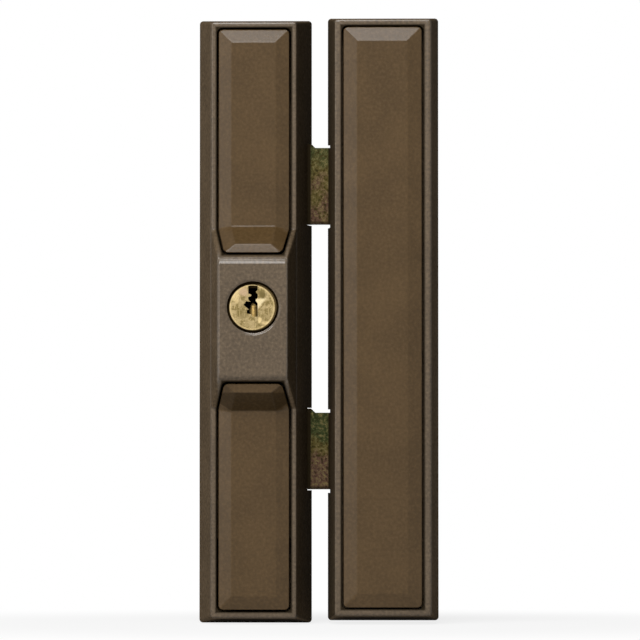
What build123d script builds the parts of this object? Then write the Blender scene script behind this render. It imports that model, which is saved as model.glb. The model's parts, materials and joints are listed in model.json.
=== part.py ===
from build123d import *
import math
import os

os.makedirs("parts", exist_ok=True)

# A surface mounted window lock: a lock case for the sash and a strike box for the frame.
# Everything is drawn lying on its back: x runs across, y along the case, and z is the
# height above the window. upright() then stands it up, so that x stays across, z points
# up along the case, and the mounting face is the plane y = 0.

# Lock case
case_length = 205.0
case_width = 38.2
flank_draft = 13.1
end_draft = 5.7
base_corner = 1.2
rim_height = 20.0
pad_height = 32.0
pad_half_length = 19.6
ramp_foot = 30.3
pad_edge_round = 1.8
pad_side_round = 1.0
pad_skin = 3.2
pad_core_wall = 2.2
pad_core_draft = 1.5
pad_core_corner = 1.0
rim_edge_round = 0.4
case_wall = 2.4
deck_thickness = 2.0
floor_thickness = 4.0
well_start = 74.0

# Covers
cover_width = 24.0
cover_outer_end = 97.9
cover_pad_end = 21.9
cover_corner = 1.5
least_corner = 0.4
cover_gap = 0.6
cover_thickness = 1.6
cover_skirt = 2.6
bevel_run = 4.4
bevel_rise = 1.9
leg_thickness = 1.4
leg_length = 5.0
leg_places = (44.0, 66.0)
leg_play = 0.15
leg_depth = 1.5

# Screw holes for fixing the case and the strike to the window
fixing_hole = 5.2
fixing_head = 9.6
fixing_sink = 2.2
fixing_across = 14.0
fixing_along = 176.0

# Back plate and its screws
back_plate_thickness = 1.2
back_plate_play = 0.1
plate_ledge = 0.6
plate_end_land = 9.0
chamber_end_play = 2.35
chamber_corner = 2.0
plate_screw_diameter = 2.4
plate_screw_length = 6.5
screw_play = 0.05
screw_tip_room = 0.5

# Cylinder, plug and pins
cylinder_height = 3.6
bezel_hole = 17.4
bezel_thickness = 2.6
barrel_diameter = 18.0
lobe_width = 7.2
lobe_reach = 19.5
pocket_play = 0.05
plug_diameter = 13.0
plug_play = 0.03
flange_diameter = 15.9
flange_lift = 0.1
plug_tail_diameter = 5.6
plug_tail_flat = 2.2
keyway_margin = 0.3
pin_diameter = 2.6
pin_play = 0.05
pin_count = 5
first_pin_depth = 3.1
last_pin_height = 2.9
driver_length = 4.0
spring_wire = 0.4
spring_turns = 4
spring_sides = 8
spring_play = 0.1
strip_thickness = 1.0
strip_width = 4.4
key_pin_tips = (1.7, -0.6, 0.4, -1.1, 0.0)
key_pin_point = 1.1

# Pinion, rack and slide
gear_module = 0.75
pinion_teeth = 12
pressure_angle = 25.0
tooth_slack = 0.07
pinion_width = 3.4
slide_play = 0.1
slide_lift = 0.3
slide_thickness = 2.0
rack_height = 4.0
rack_depth = 4.2
rack_overhang = 2.1
pinion_lift = 0.3
pinion_screw_diameter = 2.0
pinion_screw_sink = 0.9
pinion_screw_length = 5.5
clip_thickness = 0.8
clip_diameter = 15.4
clip_groove = 11.6
retainer_thickness = 1.2
retainer_width = 25.0
retainer_length = 10.0
retainer_screw_across = 8.6
retainer_screw_diameter = 2.9
retainer_screw_length = 8.0

# Bolts
bolt_width = 26.0
bolt_thickness = 4.0
bolt_spacing = 90.0
bolt_middle = 0.75
bolt_reach = 7.5
bolt_lap = 10.5
bolt_step = 1.4
bolt_step_out = 1.3
bolt_notch_play = 0.3
bolt_corner = 0.8
slide_end_play = 0.25
slide_lap_gap = 0.2
slide_side_step = 1.0
rack_rivet_inset = 3.0
rivet_diameter = 3.0
rack_rivet_diameter = 2.1
rivet_play = 0.02
stud_diameter = 3.0
stud_head = 5.6
stud_head_height = 1.4
stud_foot = 2.4
stud_inset = 1.0
stud_along = 21.0
stud_arm_width = 9.0

# Strike box
strike_gap = 5.5
strike_width = 37.6
strike_rise = 0.8
strike_draft = 7.1
strike_wall = 2.2
strike_cover_width = 26.6
strike_cover_half = 97.8
strike_bevel_run = 4.7
strike_deck_bottom = 10.0
strike_notch_play = 1.2
post_diameter = 11.0
post_floor = 3.0
keeper_thickness = 1.2
keeper_edge_inset = 3.6
keeper_block_width = 3.0
keeper_block_half = 70.0
keeper_end_inset = 6.5
keeper_play = 0.5
keeper_screw_across = 2.0
keeper_screw_along = 64.0
keeper_boss = 7.0
keeper_screw_length = 7.0
strike_leg_places = (38.0, 76.0)

# Worked out from the sizes above
flank_slope = math.tan(math.radians(flank_draft))
end_slope = math.tan(math.radians(end_draft))
strike_slope = math.tan(math.radians(strike_draft))
ramp_angle = math.degrees(math.atan2(pad_height - rim_height, ramp_foot - pad_half_length))
slide_bottom = back_plate_thickness + slide_lift
slide_top = slide_bottom + slide_thickness
bolt_top = slide_bottom + bolt_thickness
rack_top = slide_top + rack_height
pinion_bottom = slide_top + pinion_lift
pinion_top = pinion_bottom + pinion_width
retainer_bottom = rack_top + pinion_lift
chamber_top = retainer_bottom + retainer_thickness
deck_top = chamber_top + deck_thickness
barrel_front = pad_height - bezel_thickness
pin_row = barrel_front - first_pin_depth - chamber_top - last_pin_height
pin_pitch = pin_row / (pin_count - 1)
pitch_radius = gear_module * pinion_teeth / 2
bolt_throw = math.pi * pitch_radius
bolt_tip = case_width / 2 + strike_gap + bolt_reach
bolt_step_at = case_width / 2 + bolt_step_out
chamber_half_length = bolt_middle + (bolt_spacing + bolt_width) / 2 + bolt_step + chamber_end_play
chamber_half_at_slide = case_width / 2 - case_wall - slide_top * flank_slope
chamber_half_at_bolts = case_width / 2 - case_wall - bolt_top * flank_slope
slide_back_edge = bolt_throw + slide_end_play - chamber_half_at_slide
slide_arm_edge = chamber_half_at_slide - slide_end_play
bolt_tail = bolt_throw + slide_end_play - chamber_half_at_bolts
stud_at = slide_back_edge + stud_inset + stud_diameter / 2 + slide_play
strike_middle = case_width / 2 + strike_gap + strike_width / 2
FAR = 60.0


def upright(shape):
    """Stand a drawn shape up, with its mounting face on the plane y = 0."""
    return Plane(origin=(0, 0, 0), x_dir=(1, 0, 0), z_dir=(0, -1, 0)) * shape


def slab(sketch, bottom, top):
    return Pos(0, 0, bottom) * extrude(sketch, top - bottom)


def disc(x, y, diameter, bottom, top):
    return slab(Pos(x, y) * Circle(diameter / 2), bottom, top)


def block(x0, x1, y0, y1, z0, z1):
    return Pos((x0 + x1) / 2, (y0 + y1) / 2, (z0 + z1) / 2) * Box(x1 - x0, y1 - y0, z1 - z0)


def four(across, along):
    return [(sx * across, sy * along) for sx in (-1, 1) for sy in (-1, 1)]


def drafted(width, length, side_slope, end_slope, bottom, top, corner):
    """A block whose width and length shrink with height; both are given at z = 0."""
    sections = []
    for z in (bottom, top):
        w = width - 2 * z * side_slope
        h = length - 2 * z * end_slope
        sections.append(Pos(0, 0, z) * RectangleRounded(w, h, corner))
    return loft(sections, ruled=True)


def cover_half_width(y, grow=0.0):
    """Half the width of a lock cover, which narrows with the flanks up the ramp."""
    climb = max(ramp_foot - y, 0) * math.tan(math.radians(ramp_angle))
    return cover_width / 2 - climb * flank_slope + grow


def corner_radius(grow):
    """A cover's plan corner, or the one beside it when it is grown or shrunk."""
    return max(cover_corner + grow, least_corner)


def cover_outline(grow=0.0):
    """The plan of the upper cover, or of its recess when it is grown by the gap."""
    y0 = cover_pad_end - grow
    y1 = cover_outer_end + grow
    w0 = cover_half_width(y0, grow)
    w1 = cover_half_width(ramp_foot, grow)
    corners = [(-w0, y0), (w0, y0), (w1, ramp_foot), (w1, y1), (-w1, y1), (-w1, ramp_foot)]
    outline = make_face(Polyline(*corners, close=True))
    sharp = [v for v in outline.vertices() if abs(v.Y - ramp_foot) > 1]
    return fillet(sharp, corner_radius(grow))


def quad(half_a, y_a, half_b, y_b):
    return make_face(Polyline((-half_a, y_a), (half_a, y_a), (half_b, y_b), (-half_b, y_b), close=True))


def bevelled(base, field, rise, depth):
    """A flat topped slab with sloping edges over straight sides."""
    return loft([base, Pos(0, 0, rise) * field], ruled=True) + extrude(base, -depth)


def cover_form(shrink=0.0):
    """The outer form of the upper cover, or its inside when it is shrunk by the wall."""
    half = cover_width / 2 - shrink
    field = half - bevel_run
    end = cover_outer_end - shrink
    flat = Pos(0, 0, rim_height - shrink) * bevelled(
        quad(half, cover_pad_end + 3, half, end),
        quad(field, cover_pad_end + 3, field, end - bevel_run),
        bevel_rise, deck_thickness + 8)
    tilt = math.radians(ramp_angle)
    narrowing = flank_slope * math.sin(tilt)
    mitre = bevel_rise * math.tan(tilt / 2)
    low = 6.0
    high = -(ramp_foot - cover_pad_end) / math.cos(tilt) + shrink
    foot = Plane(
        origin=(0, ramp_foot - shrink * math.tan(tilt / 2), rim_height - shrink),
        x_dir=(1, 0, 0), z_dir=(0, math.sin(tilt), math.cos(tilt)))
    ramp = foot * bevelled(
        quad(half + narrowing * low, low, half + narrowing * high, high),
        quad(field + narrowing * (low - mitre), low,
             field + narrowing * (high + bevel_run - mitre), high + bevel_run),
        bevel_rise, 12.0)
    return flat + ramp


def lock_cover():
    """A moulded cap: bevelled all round, cranked up the ramp, with legs that push in."""
    shell = cover_form() & slab(cover_outline(), rim_height - cover_skirt, FAR)
    inside = cover_form(cover_thickness) & slab(cover_outline(-cover_thickness), 0, FAR)
    shell -= inside
    x = cover_width / 2 - cover_thickness - leg_thickness / 2
    for y in leg_places:
        for side in (-1, 1):
            shell += block(side * x - leg_thickness / 2, side * x + leg_thickness / 2,
                           y - leg_length / 2, y + leg_length / 2,
                           deck_top - leg_depth, rim_height - 0.4)
    return shell


def case_form():
    """The outside of the case: drafted sides, a raised pad and a ramp on each side of it."""
    body = drafted(case_width, case_length, flank_slope, end_slope, 0, pad_height, base_corner)
    half = case_length / 2 + 1
    side = make_face(Polyline(
        (-half, 0), (half, 0), (half, rim_height), (ramp_foot, rim_height),
        (pad_half_length, pad_height), (-pad_half_length, pad_height),
        (-ramp_foot, rim_height), (-half, rim_height), close=True))
    body &= extrude(Plane.YZ * side, case_width, both=True)
    pad_ends = [e for e in body.edges() if e.center().Z > pad_height - 0.1 and abs(e.center().X) < 1]
    body = fillet(pad_ends, pad_edge_round)
    pad_sides = [e for e in body.edges() if e.center().Z > pad_height - 0.1 and e.length > pad_half_length]
    body = fillet([e for e in pad_sides if abs(e.center().X) > 1], pad_side_round)
    outer = [e for e in body.edges() if pad_height - pad_edge_round > e.center().Z > rim_height - 0.1
             and (abs(e.center().X) > 1 or abs(e.center().Y) > case_length / 3)]
    return fillet(outer, rim_edge_round)


def barrel_plan(grow=0.0):
    """The cylinder from the front: a round barrel with the pin chamber below it."""
    lobe_end = cylinder_height - lobe_reach + lobe_width / 2
    plan = Pos(0, cylinder_height) * Circle(barrel_diameter / 2 + grow)
    plan += Pos(0, lobe_end) * Circle(lobe_width / 2 + grow)
    middle = (cylinder_height + lobe_end) / 2
    return plan + Pos(0, middle) * Rectangle(lobe_width + 2 * grow, cylinder_height - lobe_end)


def retainer_middle():
    return cylinder_height - lobe_reach + lobe_width / 2


def pad_cores():
    """Pockets in the pad from behind: one above the barrel and two below the retainer's screws."""
    slope = math.tan(math.radians(pad_core_draft))
    top = pad_height - pad_skin
    end = cover_pad_end - cover_gap - pad_core_wall
    side = case_width / 2 - top * flank_slope - pad_core_wall
    above = cylinder_height + barrel_diameter / 2 + pad_core_wall
    below = retainer_middle() - retainer_screw_diameter / 2 - screw_play - pad_core_wall
    inner = lobe_width / 2 + pad_core_wall
    cores = []
    for x0, x1, y0, y1 in ((-side, side, above, end), (inner, side, -end, below),
                           (-side, -inner, -end, below)):
        core = drafted(x1 - x0 + 2 * top * slope, y1 - y0 + 2 * top * slope, slope, slope,
                       chamber_top - 0.01, top, pad_core_corner)
        cores.append(Pos((x0 + x1) / 2, (y0 + y1) / 2) * core)
    return cores


def bolt_centres():
    return (bolt_middle + bolt_spacing / 2, bolt_middle - bolt_spacing / 2)


def sink(x, y, diameter, bottom, height):
    """A countersink of 90 degrees that opens towards the window."""
    cone = Cone(diameter / 2 + height, diameter / 2, height)
    return Pos(x, y, bottom + height / 2) * cone


def sunk_screw(x, y, bottom, diameter, height, length):
    """A countersunk screw that goes in from behind, with a hexagon recess."""
    screw = sink(x, y, diameter, bottom, height)
    screw += disc(x, y, diameter, bottom + height, bottom + length)
    recess = Pos(x, y) * RegularPolygon((diameter + height) * 0.3, 6)
    return screw - slab(recess, bottom - 1, bottom + height * 0.7)


def screw_bore(x, y, diameter, bottom, top):
    """The plain hole that a screw's shank fills, past the piece that its head sits in."""
    return disc(x, y, diameter + 2 * screw_play, bottom, top + screw_tip_room)


def fixing_cut(x, y, floor_bottom, floor_top):
    """A countersunk fixing hole that opens to the front."""
    hole = disc(x, y, fixing_hole, floor_bottom - 1, floor_top + 1)
    cone = Pos(x, y, floor_top - fixing_sink / 2) * Cone(
        fixing_hole / 2, fixing_head / 2, fixing_sink)
    return hole + cone


def plate_outline(grow=0.0):
    """The back plate's mouth in the case, which the plate fills but for its play."""
    width = case_width - 2 * (back_plate_thickness * flank_slope + case_wall - plate_ledge)
    length = 2 * (chamber_half_length + plate_end_land)
    return RectangleRounded(width + 2 * grow, length + 2 * grow, chamber_corner)


def plate_screw_places():
    y = chamber_half_length + plate_end_land / 2
    return [(0, y), (0, -y)]


def lock_housing():
    body = case_form()
    body -= slab(plate_outline(), -1, back_plate_thickness)
    body -= drafted(case_width - 2 * case_wall, 2 * chamber_half_length,
                    flank_slope, 0, back_plate_thickness - 0.01, chamber_top, chamber_corner)
    recess = slab(cover_outline(cover_gap), deck_top, FAR)
    well = slab(cover_outline(cover_gap), floor_thickness, FAR)
    well &= block(-FAR, FAR, well_start, 2 * FAR, 0, FAR)
    for turn in (0, 180):
        body -= Rot(0, 0, turn) * (recess + well)
    for x, y in plate_screw_places():
        body -= screw_bore(x, y, plate_screw_diameter, back_plate_thickness, plate_screw_length)
    for x, y in four(fixing_across / 2, fixing_along / 2):
        body -= fixing_cut(x, y, 0, floor_thickness)
    body -= slab(barrel_plan(pocket_play), chamber_top - 0.01, barrel_front)
    body -= disc(0, cylinder_height, bezel_hole, barrel_front - 1, pad_height + 1)
    body -= pad_cores()
    for side in (-1, 1):
        body -= screw_bore(side * retainer_screw_across, retainer_middle(), retainer_screw_diameter,
                           chamber_top, retainer_bottom + retainer_screw_length)
    body -= [leg_slot(side, x_sign, y) for side in (-1, 1) for x_sign in (-1, 1) for y in leg_places]
    for y in bolt_centres():
        body -= block(0, case_width, y - bolt_width / 2 - bolt_notch_play,
                      y + bolt_width / 2 + bolt_step + bolt_notch_play,
                      -1, bolt_top + bolt_notch_play)
    reach = rack_overhang + bolt_throw + 0.2
    body -= block(-reach, reach, rack_back() - 0.5, rack_pitch_line() + 2,
                  slide_top - 0.5, rack_top + pinion_lift)
    return body


def leg_slot(side, x_sign, y):
    x = x_sign * (cover_width / 2 - cover_thickness - leg_thickness / 2)
    half_x = leg_thickness / 2 + leg_play
    half_y = leg_length / 2 + leg_play
    return block(x - half_x, x + half_x, side * y - half_y, side * y + half_y,
                 deck_top - leg_depth - leg_play, deck_top + 1)


def back_plate():
    plate = slab(plate_outline(-back_plate_play), 0, back_plate_thickness)
    for x, y in plate_screw_places():
        plate -= sink(x, y, plate_screw_diameter + 2 * screw_play, 0, back_plate_thickness)
    for y in (-stud_along, stud_along):
        plate -= disc(stud_at, y, stud_foot + 2 * rivet_play, -1, back_plate_thickness + 1)
    return plate


def back_plate_screws():
    return [sunk_screw(x, y, 0, plate_screw_diameter, back_plate_thickness, plate_screw_length)
            for x, y in plate_screw_places()]


def pin_heights():
    first = barrel_front - first_pin_depth
    return [first - i * pin_pitch for i in range(pin_count)]


def pin_stack(bottom, top, diameter):
    """Round columns along y, one in each pin chamber, from bottom to top."""
    pieces = []
    for z in pin_heights():
        middle = (bottom + top) / 2
        pieces.append(Pos(0, middle, z) * Rot(90, 0, 0) * Cylinder(diameter / 2, top - bottom))
    return pieces


def strip_top():
    return cylinder_height - lobe_reach + lobe_width / 2 - 1.0


def cylinder_body():
    body = slab(barrel_plan(), chamber_top, barrel_front)
    body -= disc(0, cylinder_height, plug_diameter + 2 * plug_play, 0, FAR)
    body -= pin_stack(strip_top() - 0.5, cylinder_height, pin_diameter + 2 * pin_play)
    body -= block(-strip_width / 2, strip_width / 2, -FAR, strip_top(),
                  chamber_top - 1, barrel_front - 1)
    body -= block(-FAR, FAR, -FAR, strip_top() - strip_thickness, 0, FAR)
    return body


def chamber_strip():
    return block(-strip_width / 2, strip_width / 2, strip_top() - strip_thickness, strip_top(),
                 chamber_top, barrel_front - 1)


def keyway():
    """The key's slot seen from the front, about the plug's centre, with its wards."""
    return make_face(Polyline(
        (-1.5, 9.0), (1.65, 9.0), (1.65, 5.7), (1.15, 5.3), (1.15, 4.8), (1.65, 4.4),
        (1.65, 3.2), (0.9, 2.3), (1.65, 1.2), (1.65, -3.2), (-0.1, -3.2), (-0.5, -2.4),
        (-2.0, -2.1), (-2.0, -0.9), (-1.3, -0.8), (-3.1, 0.8), (-2.2, 2.0), (-0.7, 1.8),
        (-1.5, 2.6), (-1.5, 3.4), (-0.5, 3.7), (-0.5, 4.2), (-1.5, 4.6), close=True))


def key_plug():
    rear = chamber_top - clip_thickness - 0.7
    plug = disc(0, cylinder_height, plug_diameter, rear, barrel_front + 0.5)
    plug += disc(0, cylinder_height, flange_diameter, barrel_front + flange_lift, pad_height - 0.1)
    groove = disc(0, cylinder_height, FAR, clip_bottom(), clip_bottom() + clip_thickness + 0.02)
    plug -= groove - disc(0, cylinder_height, clip_groove, 0, FAR)
    keyway_floor = pin_heights()[-1] - pin_diameter / 2 - keyway_margin
    plug -= slab(Pos(0, cylinder_height) * keyway(), keyway_floor, FAR)
    plug -= pin_stack(cylinder_height - plug_diameter, cylinder_height - 1, pin_diameter + 2 * pin_play)
    plug += slab(tail_plan(), tail_bottom(), rear + 0.5)
    return plug - screw_bore(0, cylinder_height, pinion_screw_diameter, tail_bottom(),
                             pinion_bottom + pinion_screw_length)


def clip_bottom():
    return chamber_top - clip_thickness - 0.3


def tail_bottom():
    return pinion_bottom + 1.5


def tail_plan(grow=0.0):
    """The plug's tail: round with one flat, which turns the pinion."""
    plan = Circle(plug_tail_diameter / 2 + grow)
    half = plug_tail_flat + grow
    plan &= Pos(0, half - FAR / 2) * Rectangle(FAR, FAR)
    return Pos(0, cylinder_height) * plan


def key_pins():
    """Pins that stand in the plug, each as long as its cut in the key asks."""
    pins = []
    radius = pin_diameter / 2
    foot = -plug_diameter / 2 + 0.2
    for z, tip in zip(pin_heights(), key_pin_tips):
        side = make_face(Polyline((0, foot), (radius, foot), (radius, tip - key_pin_point),
                                  (0, tip), close=True))
        pin = revolve(side, Axis.Y)
        pins.append(Pos(0, cylinder_height, z) * pin)
    return pins


def driver_pins():
    top = cylinder_height - plug_diameter / 2 - 0.12
    return pin_stack(top - driver_length, top, pin_diameter)


def pin_springs():
    """Coil springs of square wire between the driver pins and the strip."""
    rise = cylinder_height - plug_diameter / 2 - 0.12 - driver_length - strip_top() - 2 * spring_wire
    radius = pin_diameter / 2 - spring_wire / 2 - spring_play
    steps = spring_turns * spring_sides
    turn = 2 * math.pi / spring_sides
    coil = Polyline([(radius * math.cos(i * turn), radius * math.sin(i * turn), rise * i / steps)
                     for i in range(steps + 1)])
    section = Plane(origin=coil @ 0, x_dir=(1, 0, 0), z_dir=coil % 0)
    section *= Rectangle(spring_wire, spring_wire)
    wire = sweep(section, path=coil, transition=Transition.RIGHT)
    return [Pos(0, strip_top() + spring_wire, z) * Rot(-90, 0, 0) * wire for z in pin_heights()]


def plug_clip():
    """A spring clip in the plug's groove, open at one side."""
    ring = disc(0, cylinder_height, clip_diameter, clip_bottom(), clip_bottom() + clip_thickness)
    ring -= disc(0, cylinder_height, clip_groove + 0.04, 0, FAR)
    mouth = clip_groove * 0.36
    return ring - block(-mouth, mouth, cylinder_height, FAR, 0, FAR)


def rack_pitch_line():
    return cylinder_height - pitch_radius


def rack_back():
    return rack_pitch_line() + gear_module - rack_depth - gear_module * 2.25


def involute(base_radius, radius, start):
    """A point of an involute at a radius, turned so that the curve begins at an angle."""
    unwound = math.sqrt((radius / base_radius) ** 2 - 1)
    angle = start + unwound - math.atan(unwound)
    return (radius * math.cos(angle), radius * math.sin(angle))


def pinion_plan():
    """Involute teeth on a root disc, with a gap at the bottom, where the rack is."""
    alpha = math.radians(pressure_angle)
    base = pitch_radius * math.cos(alpha)
    tip = pitch_radius + gear_module
    root = pitch_radius - 1.25 * gear_module
    half_tooth = (math.pi * gear_module / 2 - tooth_slack) / 2 / pitch_radius
    start = -half_tooth - (math.tan(alpha) - alpha)
    radii = (base, (base + tip) / 2, tip)
    low = [involute(base, r, start) for r in radii]
    high = [(x, -y) for x, y in reversed(low)]
    inner = (root * 0.9 * math.cos(start), root * 0.9 * math.sin(start))
    tooth = make_face(Curve() + [
        Line(inner, low[0]), ThreePointArc(*low), ThreePointArc(low[2], (tip, 0), high[0]),
        ThreePointArc(*high), Line(high[2], (inner[0], -inner[1])),
        Line((inner[0], -inner[1]), inner)])
    plan = Circle(root)
    for i in range(pinion_teeth):
        plan += Rot(0, 0, (i + 0.5) * 360 / pinion_teeth - 90) * tooth
    return Pos(0, cylinder_height) * plan


def drive_pinion():
    pinion = slab(pinion_plan(), pinion_bottom, pinion_top)
    pinion -= slab(tail_plan(rivet_play), tail_bottom() - rivet_play, FAR)
    pinion -= sink(0, cylinder_height, pinion_screw_diameter + 2 * screw_play, pinion_bottom,
                   pinion_screw_sink)
    return pinion - screw_bore(0, cylinder_height, pinion_screw_diameter, pinion_bottom, tail_bottom())


def pinion_screw():
    return sunk_screw(0, cylinder_height, pinion_bottom, pinion_screw_diameter,
                      pinion_screw_sink, pinion_screw_length)


def cylinder_retainer():
    """A steel bar across the pocket, which keeps the cylinder in the case."""
    outline = Pos(0, retainer_middle()) * RectangleRounded(retainer_width, retainer_length, 1.5)
    bar = slab(outline, retainer_bottom, chamber_top)
    for side in (-1, 1):
        bar -= sink(side * retainer_screw_across, retainer_middle(),
                    retainer_screw_diameter + 2 * screw_play, retainer_bottom, retainer_thickness)
    return bar


def retainer_screws():
    return [sunk_screw(side * retainer_screw_across, retainer_middle(), retainer_bottom,
                       retainer_screw_diameter, retainer_thickness, retainer_screw_length)
            for side in (-1, 1)]


def rivet_places():
    x = bolt_tail + bolt_lap / 2
    return [(x, y + side * bolt_width / 4) for y in bolt_centres() for side in (-1, 1)]


def rack_rivet_places():
    y = rack_back() + rack_depth / 2
    return [(slide_back_edge + rack_rivet_inset, y), (slide_arm_edge - rack_rivet_inset, y)]


def slide_plate():
    """A steel plate that joins both bolts, with forked arms on the guide studs."""
    top, bottom = bolt_centres()
    reach = bolt_width / 2 - slide_side_step
    plate = block(slide_back_edge, bolt_tail + bolt_lap - slide_lap_gap, bottom - reach,
                  top + reach, slide_bottom, slide_top)
    rack_end = rack_back() + rack_depth + gear_module * 2.25
    plate += block(slide_back_edge, slide_arm_edge, rack_back() - 1, rack_end, slide_bottom, slide_top)
    for y in (-stud_along, stud_along):
        half = stud_arm_width / 2
        plate += block(slide_back_edge, slide_arm_edge, y - half, y + half, slide_bottom, slide_top)
    slot = stud_diameter + 2 * slide_play
    for y in (-stud_along, stud_along):
        plate -= disc(stud_at, y, slot, 0, slide_top + 1)
        plate -= block(stud_at, FAR, y - slot / 2, y + slot / 2, 0, slide_top + 1)
    for x, y in rivet_places():
        plate -= disc(x, y, rivet_diameter + 2 * rivet_play, 0, slide_top + 1)
    for x, y in rack_rivet_places():
        plate -= disc(x, y, rack_rivet_diameter + 2 * rivet_play, 0, slide_top + 1)
    return plate


def guide_studs():
    """Shouldered studs riveted in the back plate, with heads over the slide plate."""
    studs = []
    for y in (-stud_along, stud_along):
        stud = disc(stud_at, y, stud_foot, 0, back_plate_thickness)
        stud += disc(stud_at, y, stud_diameter, back_plate_thickness, slide_top + slide_play + 0.1)
        head = slide_top + slide_play + 0.1
        studs.append(stud + disc(stud_at, y, stud_head, head, head + stud_head_height))
    return studs


def rack_bar():
    """Straight sided teeth on the edge of a bar, one tooth under the pinion's centre."""
    pitch = math.pi * gear_module
    slope = math.tan(math.radians(pressure_angle))
    line = rack_pitch_line()
    tip = line + gear_module
    root = line - 1.25 * gear_module
    half = (pitch / 2 - tooth_slack) / 2
    half_tip = half - gear_module * slope
    half_root = half + 1.25 * gear_module * slope
    x0 = -rack_overhang
    x1 = bolt_throw + rack_overhang
    plan = Pos((x0 + x1) / 2, (rack_back() + root) / 2) * Rectangle(x1 - x0, root - rack_back())
    for i in range(-1, int(x1 / pitch) + 2):
        tooth = make_face(Polyline((-half_root, root - 0.1), (-half_root, root), (-half_tip, tip),
                                   (half_tip, tip), (half_root, root), (half_root, root - 0.1),
                                   close=True))
        plan += Pos(i * pitch, 0) * tooth
    plan &= Pos((x0 + x1) / 2, line) * Rectangle(x1 - x0, 4 * rack_depth)
    bar = slab(plan, slide_top, rack_top)
    for x, y in rack_rivet_places():
        bar -= disc(x, y, rack_rivet_diameter + 2 * rivet_play, 0, FAR)
    return bar


def rack_rivets():
    return [disc(x, y, rack_rivet_diameter, slide_bottom, rack_top) for x, y in rack_rivet_places()]


def bolt(middle):
    """A flat steel bolt, stepped at its root and halved where it laps the slide plate."""
    half = bolt_width / 2
    step = bolt_step_at - bolt_step
    outline = make_face(Polyline(
        (bolt_tail, -half), (bolt_tip, -half), (bolt_tip, half), (bolt_step_at, half),
        (step, half + bolt_step), (bolt_tail, half + bolt_step), close=True))
    flare = Pos(bolt_step_at, half + bolt_step) * Circle(bolt_step)
    shoulder = Rectangle(bolt_step, bolt_step)
    outline += Pos((step + bolt_step_at) / 2, half + bolt_step / 2) * shoulder - flare
    tips = [v for v in outline.vertices() if v.X > bolt_tip - 0.01]
    outline = fillet(tips, bolt_corner)
    plate = slab(Pos(0, middle) * outline, slide_bottom, bolt_top)
    plate -= block(-FAR, bolt_tail + bolt_lap, -2 * FAR, 2 * FAR, 0, slide_top)
    for x, y in rivet_places():
        plate -= disc(x, y, rivet_diameter + 2 * rivet_play, 0, FAR)
    return plate


def bolt_rivets():
    return [disc(x, y, rivet_diameter, slide_bottom, bolt_top) for x, y in rivet_places()]


def strike_outline(grow=0.0):
    return RectangleRounded(strike_cover_width + 2 * grow, 2 * (strike_cover_half + grow),
                            corner_radius(grow))


def strike_cover():
    """The strike's cap: one flat field with a bevel all round, and push in legs."""
    def form(shrink):
        w = strike_cover_width - 2 * shrink
        h = 2 * (strike_cover_half - shrink)
        run = 2 * strike_bevel_run
        top = loft([Rectangle(w, h), Pos(0, 0, bevel_rise) * Rectangle(w - run, h - run)], ruled=True)
        return Pos(0, 0, rim_height - shrink) * (top + extrude(Rectangle(w, h), -10))
    shell = form(0) & slab(strike_outline(), rim_height - cover_skirt, FAR)
    shell -= form(cover_thickness) & slab(strike_outline(-cover_thickness), 0, FAR)
    deck = strike_deck_bottom + deck_thickness
    for x, y in strike_legs():
        shell += block(x - leg_thickness / 2, x + leg_thickness / 2, y - leg_length / 2,
                       y + leg_length / 2, deck - leg_depth, rim_height - 0.4)
    return shell


def strike_legs():
    x = strike_cover_width / 2 - cover_thickness - leg_thickness / 2
    return [place for y in strike_leg_places for place in four(x, y)]


def strike_notches(play, x0, x1, bottom, top):
    """Cuts for both bolts, in the strike's own frame."""
    half = bolt_width / 2 + play
    middles = [y - strike_rise for y in bolt_centres()]
    return [block(x0, x1, y - half, y + half, bottom, top) for y in middles]


def keeper_screw_places():
    return [(keeper_screw_across, keeper_screw_along), (keeper_screw_across, -keeper_screw_along)]


def strike_housing():
    deck = strike_deck_bottom + deck_thickness
    body = drafted(strike_width, case_length, strike_slope, end_slope, 0, rim_height, base_corner)
    body = fillet([e for e in body.edges() if e.center().Z > rim_height - 0.01], rim_edge_round)
    body -= drafted(strike_width - 2 * strike_wall, case_length - 2 * strike_wall,
                    strike_slope, end_slope, -0.01, strike_deck_bottom, chamber_corner)
    body -= slab(strike_outline(cover_gap), deck, FAR)
    body += [disc(x, y, post_diameter, keeper_thickness, deck)
             for x, y in four(fixing_across / 2, fixing_along / 2)]
    body += [disc(x, y, keeper_boss, keeper_thickness, strike_deck_bottom + 0.5)
             for x, y in keeper_screw_places()]
    floor = keeper_thickness + post_floor
    for x, y in four(fixing_across / 2, fixing_along / 2):
        body -= disc(x, y, fixing_head, floor, FAR)
        body -= fixing_cut(x, y, keeper_thickness, floor)
    for x, y in keeper_screw_places():
        body -= screw_bore(x, y, retainer_screw_diameter, keeper_thickness, keeper_screw_length)
    for x, y in strike_legs():
        body -= block(x - leg_thickness / 2 - leg_play, x + leg_thickness / 2 + leg_play,
                      y - leg_length / 2 - leg_play, y + leg_length / 2 + leg_play,
                      deck - leg_depth - leg_play, deck + 1)
    return body - strike_notches(strike_notch_play, -strike_width, -strike_width / 4,
                                 -1, bolt_top + strike_notch_play)


def strike_keeper():
    """A steel plate that closes the strike from behind, under the bolts."""
    near = keeper_edge_inset - strike_width / 2
    far = strike_width / 2 - keeper_edge_inset
    outline = RectangleRounded(far - near, case_length - 2 * keeper_end_inset, chamber_corner)
    keeper = slab(Pos((near + far) / 2, 0) * outline, 0, keeper_thickness)
    for x, y in four(fixing_across / 2, fixing_along / 2):
        keeper -= disc(x, y, fixing_hole, -1, keeper_thickness + 1)
    for x, y in keeper_screw_places():
        keeper -= sink(x, y, retainer_screw_diameter + 2 * screw_play, 0, keeper_thickness)
    return keeper


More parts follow.
